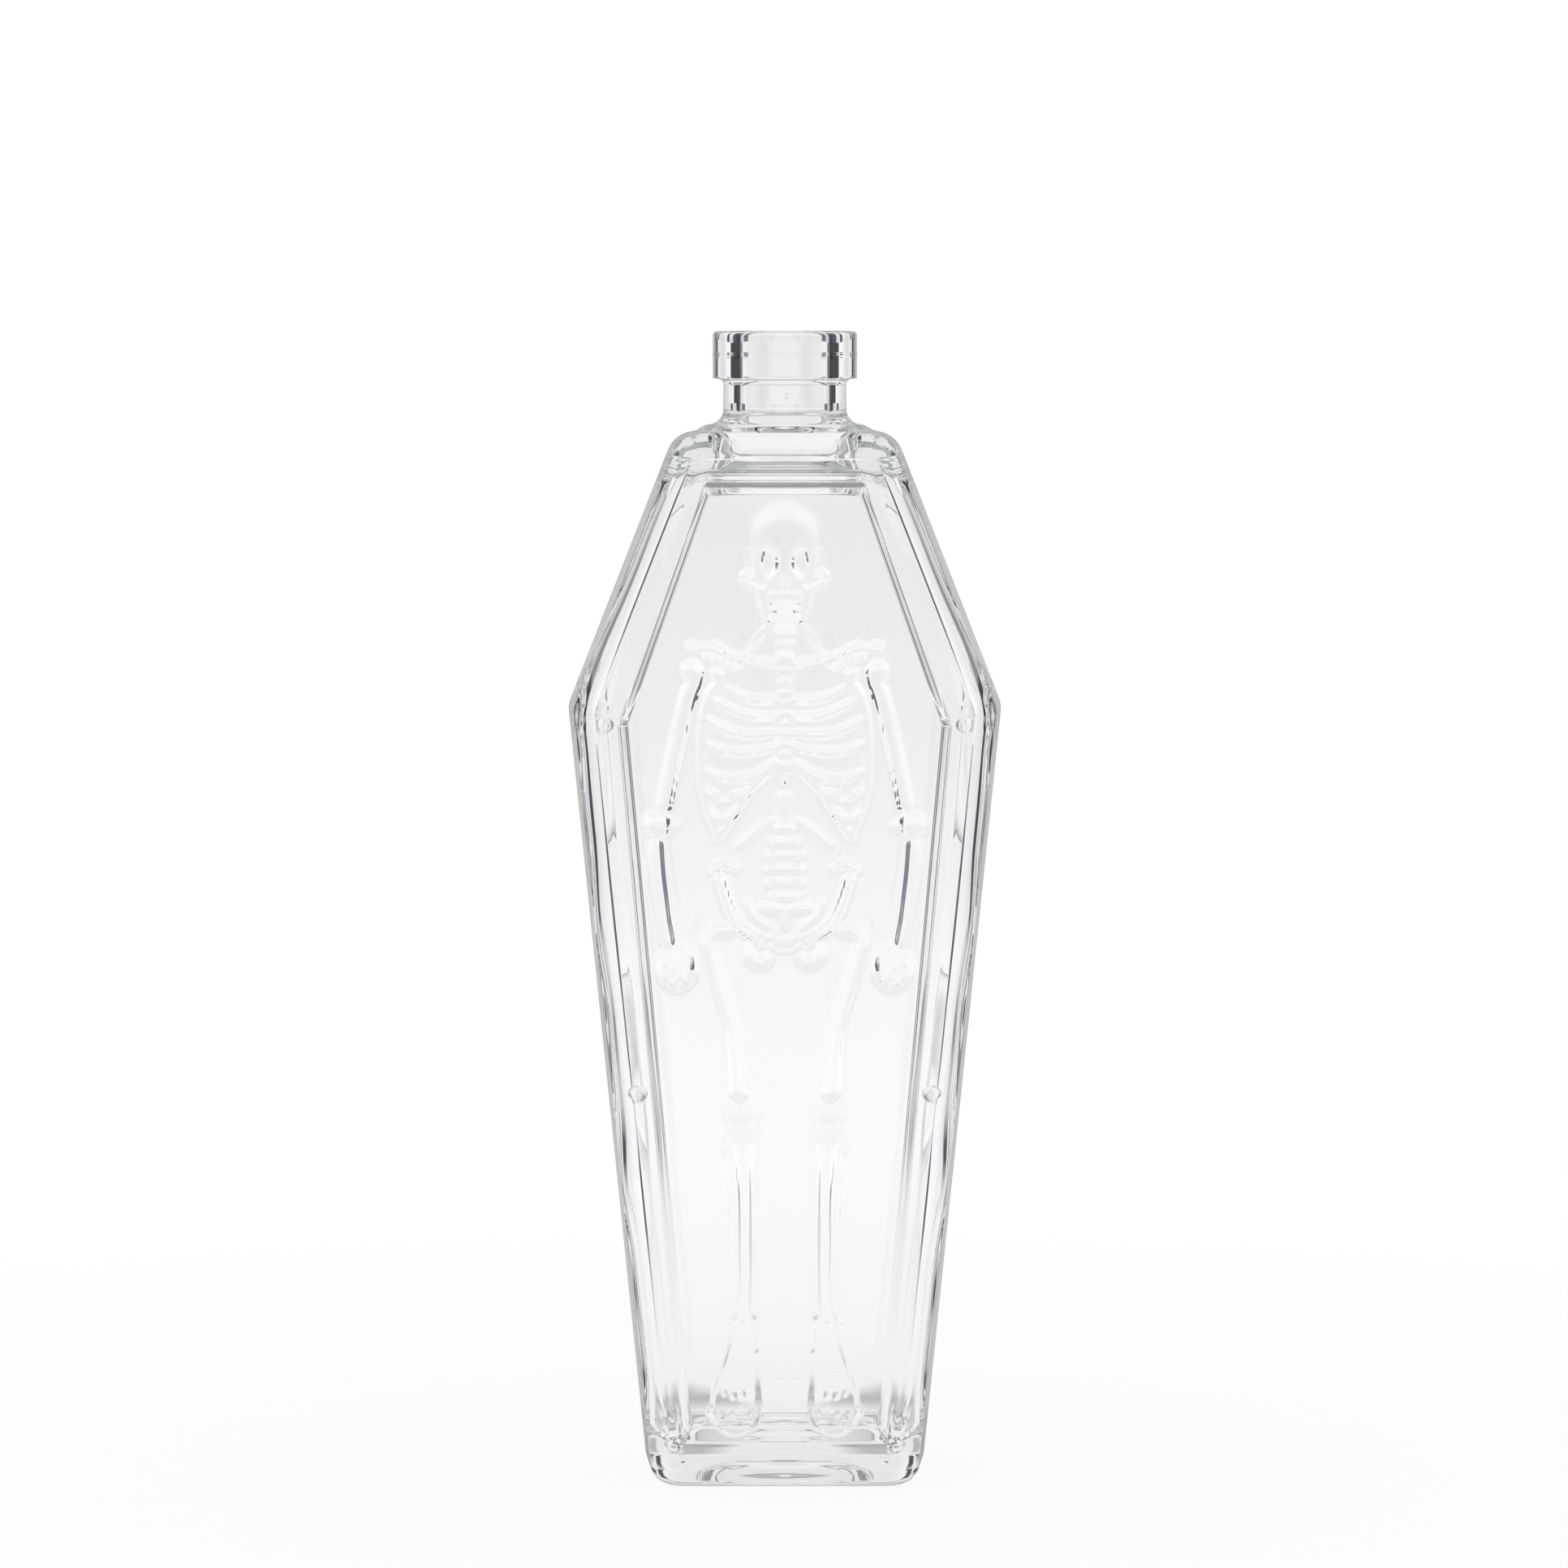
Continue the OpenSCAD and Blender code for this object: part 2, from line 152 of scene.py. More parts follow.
def body_ring(wide, front, back, step, z, even=0.0):
    """A ring round the body: across the front, up the right side, across the back, and down the left. The
    sides draw in from the middle, where the mould parts, to the front and back. The flat frame ends in a
    small step, and the rounded edge starts from its foot."""
    near = max(least_front_r, front_r - (half_depth - front) * edge_shrink)
    far = max(least_back_r, back_r - (half_depth - back) * edge_shrink)
    near, far = min(near, front * 0.4), min(far, back * 0.3)
    near_y, far_y = front - near * (1 - math.sin(draft)), back - far * (1 - math.sin(draft))
    near_x = wide - near_y * math.tan(draft) - near * math.cos(draft)
    far_x = wide - far_y * math.tan(draft) - far * math.cos(draft)
    start = math.acos(1 - step / near)
    right = [(near_x + near * math.sin(a), near - front - near * math.cos(a))
             for a in np.linspace(start, math.pi / 2 - draft, arc_steps + 1)]
    flat = right[0][0]
    half = side_count // 2
    right += [(wide - abs(y) * math.tan(draft), y) for y in
              np.concatenate([np.linspace(-near_y, 0, half + 1)[1:], np.linspace(0, far_y, half + 1)[1:]])]
    right += [(far_x + far * math.sin(a), back - far + far * math.cos(a))
              for a in np.linspace(math.pi / 2 - draft, 0, arc_steps + 1)[1:]]
    points = [(x, -front) for x in front_places(z, flat, even)]
    for i, share in enumerate(step_down):
        points[i] = (points[i][0], share * step - front)
        points[-1 - i] = (points[-1 - i][0], share * step - front)
    points += right[1:]
    points += [(x, back) for x in np.linspace(far_x, -far_x, back_count + 1)[1:]]
    points += [(-x, y) for x, y in right[::-1][1:-1]]
    points = np.array(points)
    return np.stack([points[:, 0], mid_y + points[:, 1], np.full(len(points), z)], axis=1)


front_count = middle_steps + 2 * slope_steps + 2 * frame_steps
foot = np.array(body_section(0.0))
# The push-up under the foot, as share of the foot's size and height, out to the ring that it stands on.
push_up = ((0.03, 5.2), (0.2, 5.1), (0.4, 4.6), (0.6, 3.8), (0.76, 2.9), (0.86, 2.0), (0.91, 1.2),
           (0.94, 0.4), (0.955, 0.05), (0.965, 0.0), (0.985, 0.0))
rings = [body_ring(*foot * share, z, 1.0) for share, z in push_up]
heel_rows = (0.0, 0.13, 0.51, 1.11, 1.9, 2.8, 3.8, 5.2, 6.9)
even_below, even_above = (1.5, 7), (210.8, 213.5)
for z in heel_rows:
    rings.append(body_ring(*body_section(z), z, np.interp(z, even_below, [1, 0])))
first_row = len(rings)
# Rows up the panel, as height and number of rows up to it: closest where the relief is finest.
panel_rows = [(8.6, 0), (13.2, 15), (36, 40), (60, 22), (84, 30), (124, 64), (176, 96), (202, 46),
              (206.2, 14)]
heights = [panel_rows[0][0]]
for (low, _), (high, count) in zip(panel_rows, panel_rows[1:]):
    heights += list(np.linspace(low, high, count + 1)[1:])
for z in heights:
    rings.append(body_ring(*body_section(z), z))
last_row = len(rings)
top_rows = (207.5, 208.8, 209.79, 210.06, 210.6)
for z in top_rows:
    rings.append(body_ring(*body_section(z), z))
for a in np.linspace(lean, math.pi / 2, 12):
    z = corner_z + corner_r * math.sin(a)
    rings.append(body_ring(*body_section(z), z, np.interp(z, even_above, [0, 1])))

# Shoulders, neck, collar and lip
# The shoulders rise a little to a short round neck, which swells into the plain collar that a cork is driven
# into. A fine ring round the collar's middle is where the parts of the neck's mould met.
neck_r, collar_r, bore_r = 12.6, 14.8, 9.25
neck_foot, collar_z = 216.5, 225.9
neck_rows = (221.1, 221.6, 221.9, 222.2, 222.5, 222.8, 223.1, 223.4, 223.8)
top_z = glass_high[2]
parting_z, parting_rise = (collar_z + top_z) / 2, 0.05
lip_r, under_r, collar_edge = 0.9, 1.1, 0.3
fillet, fillet_end = 3.3, 0.15
shoulder_bow = 1.45
bubble_x, bubble_z, bubble_rise, bubble_spread = 0.3, 222.6, 0.032, 0.32


def arc(cx, cz, r, start, stop, steps):
    """Points of an arc as (distance from the axis, height)."""
    return [(cx + r * math.cos(math.radians(a)), cz + r * math.sin(math.radians(a)))
            for a in np.linspace(start, stop, steps + 1)]


quarter = 2 * arc_steps + side_count
round_angle = np.radians(np.concatenate([
    np.linspace(-135, -45, front_count + 1), np.linspace(-45, 45, quarter + 1)[1:],
    np.linspace(45, 135, back_count + 1)[1:], np.linspace(135, 225, quarter + 1)[1:-1]]))


def round_ring(r, z):
    """A round ring with as many points as the body's rings. A small bubble in the glass lifts the front of
    the neck a little."""
    x, y = r * np.cos(round_angle), r * np.sin(round_angle)
    bubble = np.exp(-((x - bubble_x) ** 2 + (z - bubble_z) ** 2) / bubble_spread) * (y < 0)
    lift = 1 + bubble_rise * bubble
    return np.stack([x * lift, mid_y + y * lift, np.full(len(round_angle), z)], axis=1)


shoulder_ring = rings[-1]
for share in np.linspace(0, 1, 7)[1:]:
    ring = shoulder_ring * (1 - share) + round_ring(neck_r + fillet - fillet_end, neck_foot) * share
    ring[:, 2] = body_top + (neck_foot - body_top) * math.sin(share * shoulder_bow) / math.sin(shoulder_bow)
    rings.append(ring)
lip_out, lip_in = 12.6, 11.2
neck_profile = (arc(neck_r + fillet, neck_foot + fillet, fillet, 262, 180, 10)[1:]
                + [(neck_r, z) for z in (*neck_rows, collar_z - 1.5)]
                + arc(neck_r + under_r, collar_z - 1.2, under_r, 180, 98, 7)
                + arc(collar_r - collar_edge, collar_z + collar_edge, collar_edge, -85, 0, 4)
                + [(collar_r, collar_z + h) for h in (0.42, 0.6, 2.4)]
                + [(collar_r, parting_z + h) for h in (-0.8, -0.6, -0.35)]
                + [(collar_r + parting_rise, parting_z + h) for h in (-0.1, 0.1)]
                + [(collar_r, parting_z + h) for h in (0.35, 0.6, 0.8)]
                + [(collar_r, top_z - lip_r - h) for h in (1.8, 0.3, 0.1)]
                + arc(collar_r - lip_r, top_z - lip_r, lip_r, 0, 88, 8)
                + [(lip_out, top_z), (lip_in, top_z)])
rings += [round_ring(r, z) for r, z in neck_profile]

# Inside of the bottle
# The hollow that the air blew. It follows the outside loosely, with rounder corners and walls that are never
# quite even, and narrows through the shoulders into the straight bore.
wall = 4.7
inside_front, inside_back = front_y + 6.5, back_y - 4.0
inside_mid = (inside_front + inside_back) / 2
inside_deep = (inside_back - inside_front) / 2
inside_floor, inside_top = 9.0, 207.5
inside_r, throat_r, floor_r, crown_r, crown_side = 3.2, 2.0, 4.0, 2.4, 5.5
floor_bulge, floor_corner = 1.6, 2.2
bell_r, bell_z = 3.2, 217.4
inside_soft = 2.0
inside_arc, inside_straight = 9, 15


def inside_half(z):
    """Half width of the hollow at height z, with the slow waves of a wall that was blown and not cut."""
    lower = foot_half + (elbow_half - foot_half) * z / elbow_z - wall
    upper = elbow_half - (elbow_half - shoulder_half) * (z - elbow_z) / (body_top - elbow_z) - wall * 1.08
    return soft_min(lower, upper, inside_soft) + 0.25 * math.sin(z / 9.0 + 1.0) + 0.1 * math.sin(z / 4.3)


def inside_ring(wide, deep, r, y, z):
    """A ring round the hollow, a rectangle with rounded corners."""
    r = min(r, wide, deep)
    points = []
    for quadrant in range(4):
        half_x, half_y = (wide, deep) if quadrant % 2 == 0 else (deep, wide)
        near = min(0.4, (half_x - r) * 0.2)
        for y_here in np.concatenate([[-(half_y - r)], np.linspace(-(half_y - r) + near, half_y - r - near,
                                                                   inside_straight - 1)]):
            points.append((half_x, y_here, quadrant))
        for a in np.radians(np.linspace(0, 90, inside_arc + 1)[:-1]):
            points.append((half_x - r + r * math.cos(a), half_y - r + r * math.sin(a), quadrant))
    out = []
    for px, py, quadrant in points:
        c, s = ((1, 0), (0, 1), (-1, 0), (0, -1))[quadrant]
        out.append((px * c - py * s, y + px * s + py * c, z))
    return np.array(out)


hollow_rings = []
lip_profile = arc(bore_r + lip_r, top_z - lip_r, lip_r, 98, 180, 7)
bore_profile = [(bore_r, z) for z in (233, 230, 227, 224, 221, 219)]
for r, z in [(lip_in, top_z), (bore_r + lip_r, top_z)] + lip_profile + bore_profile:
    hollow_rings.append(inside_ring(r, r, r, mid_y, z))
crown_wide, crown_deep = inside_half(inside_top - crown_r) - crown_side, inside_deep - crown_r
bell = arc(bore_r + bell_r, bell_z, bell_r, 180, 255, 7)
for r, z in bell:
    share = np.interp(z, [bell_z - bell_r, bell_z], [1, 0]) * 0.12
    hollow_rings.append(inside_ring(r, r, r, mid_y + (inside_mid - mid_y) * share, z))
for share in np.linspace(0, 1, 6)[1:]:
    r = bell[-1][0]
    hollow_rings.append(inside_ring(r + (crown_wide - r) * share, r + (crown_deep - r) * share,
                                    r + (throat_r - r) * share, mid_y + (inside_mid - mid_y) * share,
                                    bell[-1][1] + (inside_top - bell[-1][1]) * share ** 1.4))
for a in np.radians(np.linspace(0, 90, 8))[1:]:
    z = inside_top - crown_r * (1 - math.cos(a))
    hollow_rings.append(inside_ring(inside_half(z) - crown_side * (1 - math.sin(a)),
                                    inside_deep - crown_r * (1 - math.sin(a)),
                                    throat_r + (inside_r - throat_r) * math.sin(a), inside_mid, z))
for z in np.linspace(inside_top - crown_r, inside_floor + floor_r, 54)[1:]:
    hollow_rings.append(inside_ring(inside_half(z), inside_deep + 0.12 * math.sin(z / 19.0),
                                    inside_r + 0.4 * math.sin(z / 13.0 + 2) + 0.15 * math.sin(z / 5.1),
                                    inside_mid + 0.05 * math.sin(z / 17.0), z))
for a in np.radians(np.linspace(90, 0, 9))[1:]:
    z = inside_floor + floor_r * (1 - math.cos(a))
    gap = floor_r * (1 - math.sin(a))
    hollow_rings.append(inside_ring(inside_half(z) - gap, inside_deep - gap,
                                    max(inside_r - gap * edge_shrink, throat_r), inside_mid, z))
for share in (0.8, 0.6, 0.4, 0.2, 0.04):
    hollow_rings.append(inside_ring((inside_half(inside_floor) - floor_r) * share,
                                    (inside_deep - floor_r) * share, floor_corner * share, inside_mid,
                                    inside_floor + floor_bulge * (1 - share ** 2)))

# Front panel and skeleton
# The sunk panel inside the frame, with the skeleton standing out of it. The mould was cut with the bones as
# soft-edged hollows, so in the glass they are low rounded ridges that melt into each other. Their places are
# millimetres across from the middle and up from the soles.
panel_x = np.array([ring[:front_count + 1, 0] for ring in rings[first_row:last_row]])
panel_z = np.array([ring[:front_count + 1, 2] for ring in rings[first_row:last_row]])
sole_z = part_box("left_leg")[0][2] / MM
crown_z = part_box("skull")[1][2] / MM
drawn_height = 188.6
figure_fit = (crown_z - sole_z) / drawn_height
figure_z = (panel_z - sole_z) / figure_fit
ground = np.zeros_like(panel_x)
bones = np.zeros_like(panel_x)


def raise_bones(bump, melt):
    """Melts a new bone into those already there."""
    both = soft_max(bones, bump, melt)
    bones[:] = np.where((bump > 0) & (bones > 0), both, np.maximum(bones, bump))


def swell(q, flat, crisp=False):
    """A rounded swelling: 1 out to flat, then down to nothing at the edge. Its flank is rounded, or, where it
    is crisp, an even slope that is only rounded off at its top and foot."""
    if not crisp:
        spread = 1.15
        return np.cos(np.clip((q - flat) / (spread - flat), 0, 1) * math.pi / 2) ** 2
    t = np.clip((q - flat) / (1 - flat), 0, 1)
    ends = 0.18
    bend = 2 * ends * (1 - ends)
    even = (t - ends / 2) / (1 - ends)
    return 1 - np.where(t < ends, t * t / bend, np.where(t > 1 - ends, 1 - (1 - t) ** 2 / bend, even))


def ridge(points, widths, rise, melt=0.15, flat=0.0, steep=0.0, fade=0.0, crisp=False):
    """A bone along a line of points. Its side towards the middle of the body is steeper by steep, and it
    gets lower with its width by fade."""
    bump = np.zeros_like(panel_x)
    for (a, b), (w, v) in zip(zip(points, points[1:]), zip(widths, widths[1:])):
        dx, dz = b[0] - a[0], b[1] - a[1]
        t = np.clip(((panel_x - a[0]) * dx + (figure_z - a[1]) * dz) / (dx * dx + dz * dz + 1e-9), 0, 1)
        far = np.hypot(panel_x - a[0] - t * dx, figure_z - a[1] - t * dz)
        r = (w + (v - w) * t) / 2
        top = rise * (2 * r / max(widths)) ** fade
        if steep:
            inner = abs(panel_x) < abs(a[0] + t * dx)
            r = r * np.where(inner, 1 - steep, 1 + steep)
        bump = np.maximum(bump, top * swell(far / r, flat, crisp))
    raise_bones(bump, melt)


def lump(x, z, w, h, rise, tilt=0, flat=0.0, melt=0.15, cut=False, crisp=False, steep=0.0):
    """A rounded lump, or a hollow cut into the bones, w wide and h high, turned by tilt degrees. Its side
    away from the middle of the body is steeper by steep."""
    c, s = math.cos(math.radians(tilt)), math.sin(math.radians(tilt))
    across = (panel_x - x) * c + (figure_z - z) * s
    up = (figure_z - z) * c - (panel_x - x) * s
    if steep:
        w = w * np.where(abs(panel_x) > abs(x), 1 - steep, 1 + steep)
    bump = rise * swell(np.hypot(2 * across / w, 2 * up / h), flat, crisp)
    if cut:
        bones[:] = np.maximum(bones - bump, np.minimum(bones, 0.0))
    else:
        raise_bones(bump, melt)


def plate(points, rise, soft):
    """Raised ground with a soft edge, inside an outline and its mirror image."""
    outline = points + [(-x, z) for x, z in points[::-1]]
    inside = np.zeros(panel_x.shape, bool)
    far = np.full(panel_x.shape, 99.0)
    for (ax, az), (bx, bz) in zip(outline, outline[1:] + outline[:1]):
        dx, dz = bx - ax, bz - az
        t = np.clip(((panel_x - ax) * dx + (figure_z - az) * dz) / (dx * dx + dz * dz + 1e-9), 0, 1)
        far = np.minimum(far, np.hypot(panel_x - ax - t * dx, figure_z - az - t * dz))
        crosses = (az > figure_z) != (bz > figure_z)
        inside ^= crosses & (panel_x < ax + (figure_z - az) / (dz + 1e-12) * dx)
    t = np.clip(0.5 + np.where(inside, far, -far) / soft, 0, 1)
    ground[:] = np.maximum(ground, rise * t * t * (3 - 2 * t))


def smooth_line(points, steps=5):
    """More points, on a smooth curve through a few."""
    p = np.array([points[0]] + list(points) + [points[-1]], float)
    out = []
    for i in range(1, len(p) - 2):
        for t in np.linspace(0, 1, steps, endpoint=False):
            out.append(tuple(0.5 * (2 * p[i] + (p[i + 1] - p[i - 1]) * t
                                    + (2 * p[i - 1] - 5 * p[i] + 4 * p[i + 1] - p[i + 2]) * t * t
                                    + (3 * p[i] - p[i - 1] - 3 * p[i + 1] + p[i + 2]) * t ** 3)))
    return out + [tuple(p[-2])]


def bone(points, widths, rise, **settings):
    """A curved bone on each side of the body."""
    for side in (-1, 1):
        line = smooth_line([(side * x, z) for x, z in points])
        w = np.interp(np.linspace(0, 1, len(line)), np.linspace(0, 1, len(widths)), widths)
        ridge(line, w, rise, **settings)


def pair(x, z, w, h, rise, tilt=0, **settings):
    """The same lump or hollow on each side of the body."""
    for side in (-1, 1):
        lump(side * x, z, w, h, rise, tilt=side * tilt, **settings)


# skull, from the crown to the chin
lump(0, 179.4, 17.2, 19.0, 1.7, flat=0.5)
lump(0, 170.6, 12.6, 14.6, 1.2, flat=0.45, melt=0.8)
bone([(6.0, 173.8), (7.4, 173.9), (8.6, 173.2)], [3.0, 2.8, 2.2], 1.35, melt=0.4)
bone([(8.4, 172.2), (6.9, 171.4), (5.4, 170.8)], [2.2, 2.4, 2.2], 1.2, melt=0.3)
bone([(5.0, 170.4), (4.4, 167.4), (3.4, 164.8)], [2.8, 3.0, 2.8], 1.2, melt=0.4)
bone([(1.9, 179.6), (3.8, 179.9), (5.4, 178.9)], [1.8, 2.0, 1.8], 1.8, melt=0.4)
ridge([(-2.9, 169.2), (2.9, 169.2)], [2.6, 2.6], 1.7, flat=0.3)
ridge([(-2.7, 166.5), (2.7, 166.5)], [1.8, 1.8], 1.6, flat=0.3)
ridge([(-2.3, 164.5), (2.3, 164.5)], [3.0, 3.0], 1.6, flat=0.3, melt=0.3)
pair(3.5, 176.0, 4.6, 7.6, 1.75, flat=0.2, cut=True, crisp=True, steep=0.25)
pair(4.4, 171.9, 1.8, 2.4, 0.6, cut=True)
pair(0.8, 172.6, 1.5, 3.0, 0.7, tilt=-14, cut=True)
lump(0, 167.8, 6.0, 0.9, 0.8, cut=True)
for x in (-2.4, -1.6, -0.8, 0, 0.8, 1.6, 2.4):
    lump(x, 169.0, 0.5, 2.0, 0.3, cut=True)
pair(2.45, 167.7, 1.3, 1.3, 0.9, cut=True)
pair(2.5, 165.3, 1.1, 1.3, 0.8, cut=True)

# neck and backbone
plate([(3.4, 164.4), (4.2, 161.6), (6.6, 158.6), (9.6, 156.4), (6.4, 153.6)], 0.55, 1.3)
for z, w in ((161.9, 6.0), (159.6, 5.0)):
    ridge([(1.0 - w / 2, z), (w / 2 - 1.0, z)], [1.8, 1.8], 1.0)
bone([(3.9, 163.0), (5.9, 160.8), (7.3, 158.2)], [1.3, 1.5, 1.5], 0.75)
for z, w in ((122.0, 4.9), (119.0, 6.2), (116.4, 8.4), (113.6, 8.2), (110.8, 8.0), (108.0, 6.4)):
    ridge([(0.9 - w / 2, z), (w / 2 - 0.9, z)], [2.3, 2.3], 1.25, flat=0.2)
ridge([(0, 128.0), (0, 106.4)], [4.4, 5.0], 0.8, flat=0.4)

# chest
plate([(2.0, 157.0), (12.0, 154.6), (16.8, 149.0), (17.9, 141.0), (17.7, 131.0), (16.2, 124.6), (13.7, 119.6),
       (12.5, 119.6), (9.2, 124.8), (6.4, 129.4), (2.4, 133.4)], 0.5, 1.0)
ridge([(0, 156.2), (0, 152.6)], [5.6, 4.4], 1.0, flat=0.3)
ridge([(0, 152.6), (0, 134.6)], [4.2, 4.6], 1.0, flat=0.4)
for z in np.arange(135.9, 156, 2.1):
    lump(0, z, 5.4, 0.9, 0.75, cut=True)
ridge([(0, 134.0), (0, 130.6)], [3.0, 1.8], 1.1)
bone([(19.6, 159.1), (14.6, 159.3), (11.2, 157.4), (8.4, 156.5), (4.4, 155.9), (2.4, 155.2)],
     [2.4, 2.0, 2.0, 2.2, 2.2, 2.6], 1.35)
bone([(16.2, 157.0), (12.8, 155.9), (9.8, 154.2)], [2.4, 2.2, 1.6], 1.25)
pair(13.8, 153.4, 4.4, 3.6, 1.3, flat=0.2)
for points in ([(12.6, 151.0), (8.4, 148.6), (4.6, 147.9), (1.8, 148.0)],
               [(16.2, 149.2), (11.7, 146.6), (6.9, 144.8), (1.8, 144.7)],
               [(17.2, 145.2), (13.2, 142.6), (8.4, 141.0), (1.8, 141.2)],
               [(17.6, 140.2), (13.2, 137.9), (9.1, 137.2), (4.6, 137.8), (1.8, 138.6)],
               [(17.6, 134.6), (13.0, 132.2), (8.4, 132.0), (5.2, 133.0), (1.8, 135.4)],
               [(17.2, 130.0), (12.6, 128.3), (8.0, 129.2)],
               [(16.2, 125.8), (13.0, 124.0), (10.2, 125.2)]):
    bone(points, [1.4, 2.8, 3.1, 3.1, 2.8], 1.4, melt=0.25, fade=1.0)
bone([(13.9, 119.6), (11.5, 122.9), (9.5, 126.1), (7.2, 129.6), (4.0, 132.4), (1.4, 133.3)],
     [2.2, 3.2, 3.0], 1.0, steep=0.1, crisp=True)
bone([(13.6, 151.8), (16.0, 147.2), (16.9, 140.6), (16.7, 132.2), (15.6, 126.0), (13.2, 120.4)],
     [3.0, 3.4, 3.0], 0.9, steep=-0.1)
pair(11.2, 134.7, 8.6, 3.6, 0.8, flat=0.7, cut=True, crisp=True)
pair(12.3, 130.0, 6.0, 2.6, 0.8, flat=0.6, cut=True, crisp=True)
pair(12.9, 125.0, 3.8, 3.0, 0.9, flat=0.4, cut=True, crisp=True)
bone([(9.1, 118.4), (5.6, 121.6), (2.6, 123.4)], [2.0, 2.2, 2.0], 1.05)

# hips
bone([(14.6, 113.4), (12.6, 114.6), (10.0, 113.8)], [2.6, 3.4, 2.4], 1.5)
bone([(13.2, 111.6), (11.9, 107.4), (10.3, 103.6), (8.6, 101.6)],
     [3.4, 3.6, 3.8, 3.4], 1.45, melt=0.3, flat=0.1, crisp=True)
bone([(9.4, 102.0), (6.2, 99.8), (3.2, 98.5), (0, 98.0)],
     [3.0, 2.6, 2.4, 2.4], 1.8, melt=0.2, flat=0.3, crisp=True)
bone([(7.6, 107.0), (6.6, 104.2), (3.8, 101.9)], [2.4, 2.6, 1.8], 0.9)
ridge([(-4.6, 105.6), (4.6, 105.6)], [3.2, 3.2], 0.9, flat=0.2)
ridge([(0, 105.0), (0, 102.0)], [6.0, 2.6], 1.0, melt=0.3)
pair(5.1, 96.2, 8.0, 8.2, 1.35, flat=0.3)
pair(4.9, 96.7, 3.6, 4.0, 1.3, flat=0.1, cut=True)
ridge([(-2.4, 97.2), (2.4, 97.2)], [2.0, 2.0], 1.1)

# arms and fists
bone([(17.8, 153.6), (18.5, 151.0), (19.7, 148.0), (21.5, 140.3), (23.1, 133.0), (24.3, 126.6)],
     [5.0, 5.2, 5.2, 5.2, 5.2, 5.2], 1.6, steep=0.13, flat=0.22, crisp=True)
pair(18.9, 153.8, 6.4, 6.4, 1.5, flat=0.2)
pair(25.8, 122.6, 7.2, 7.2, 1.6, flat=0.3)
pair(22.2, 122.4, 2.8, 3.2, 1.1)
bone([(26.0, 118.6), (25.5, 112.2), (24.5, 103.8), (23.6, 98.6)],
     [4.4, 4.2, 4.2, 4.4], 1.4, steep=0.13, flat=0.2, crisp=True)
bone([(27.4, 117.4), (27.2, 112.2), (25.8, 103.8), (24.9, 100.0)], [1.6, 1.8, 1.6], 0.9)
pair(21.9, 93.2, 10.4, 11.4, 1.35, flat=0.45)
for i, (x, z) in enumerate(((24.6, 91.6), (23.1, 90.2), (21.4, 89.6), (19.9, 90.6))):
    pair(x, z, 2.2, 3.6, 1.75, tilt=8 - 10 * i, melt=0.08)
pair(24.4, 94.6, 2.4, 3.6, 1.75, tilt=-20)
bone([(19.4, 95.4), (19.2, 93.2), (20.2, 91.4)], [2.2, 2.4, 2.2], 1.65, melt=0.08)
bone([(22.6, 93.8), (21.2, 92.6), (21.8, 91.2)], [1.6, 1.6, 1.4], 1.7)

# legs and feet
bone([(11.6, 101.2), (14.0, 100.8), (15.6, 99.0)], [4.0, 4.6, 4.2], 1.3, melt=0.3)
bone([(15.8, 98.6), (14.6, 94.0), (13.4, 89.5), (11.4, 83.0), (10.6, 78.4), (10.0, 72.0), (9.6, 68.0)],
     [4.8, 5.0, 4.8, 4.4, 4.4, 5.4, 6.4], 1.4, steep=-0.18)
pair(9.0, 63.8, 10.4, 6.4, 0.65, flat=0.2, melt=0.5)
pair(8.9, 58.4, 10.6, 5.4, 0.65, flat=0.2, melt=0.5)
bone([(8.9, 57.0), (8.7, 53.4), (8.3, 46.0), (8.2, 30.0), (8.7, 21.6)],
     [7.4, 5.6, 4.4, 4.2, 5.4], 1.45, steep=-0.1, melt=0.3, flat=0.2, crisp=True)
bone([(12.4, 55.0), (12.2, 51.0), (11.4, 44.0), (11.3, 30.0), (11.6, 21.0)], [4.0, 2.4, 2.0, 2.0, 3.2], 0.8)
pair(6.4, 20.8, 3.0, 3.8, 1.0)
bone([(8.4, 20.4), (8.6, 16.0), (9.1, 11.0), (9.9, 6.0), (10.1, 2.4)],
     [5.6, 6.0, 8.0, 10.8, 11.6], 1.0, flat=0.76, crisp=True)
pair(6.3, 14.0, 3.4, 3.4, 1.05)
for row, (z, w, rise) in enumerate(((9.6, 2.4, 1.0), (6.0, 2.5, 1.2), (2.4, 2.8, 1.35))):
    for i in range(5):
        pair(6.9 - row * 0.1 + i * (1.6 + row * 0.22), z - i * 0.2 + 0.5 * math.sin(4.0 * i + row * 2),
             w, 2.7 + 0.5 * math.sin(2.3 * i + row), rise + 0.15 * math.sin(5.1 * i + 3 * row),
             tilt=18 - 9 * i, melt=0.1)

# The bones stay below the frame, and the panel's floor, bevels and corners melt into each other.
below_frame, bevel_soft, panel_soft = 0.2, 0.3, 0.35
relief = np.minimum(ground + bones, panel_depth - below_frame)
side_gap = opening_half(panel_z) - abs(panel_x)
foot_gap = panel_z - opening_foot[1]
top_gap = opening_top[1] - panel_z
ends = soft_min(foot_gap * panel_depth / end_bevel, top_gap * panel_depth / end_bevel, bevel_soft)
slope = soft_min(ends, side_gap * panel_depth / side_bevel, bevel_soft)
depth = soft_min(soft_max(slope, 0.0, panel_soft), panel_depth, panel_soft)
outside = np.array(rings)
outside[first_row:last_row, :front_count + 1, 1] += depth - relief
hollow_points = np.array(hollow_rings)

# One skin of glass
# The outside and the hollow are each rolled up from a flat grid into a tube. Each is closed in the middle of
# its foot, and the two are joined at the lip, so that the glass is one closed skin.
merge_gap, level_gap = 1e-6, 1e-5


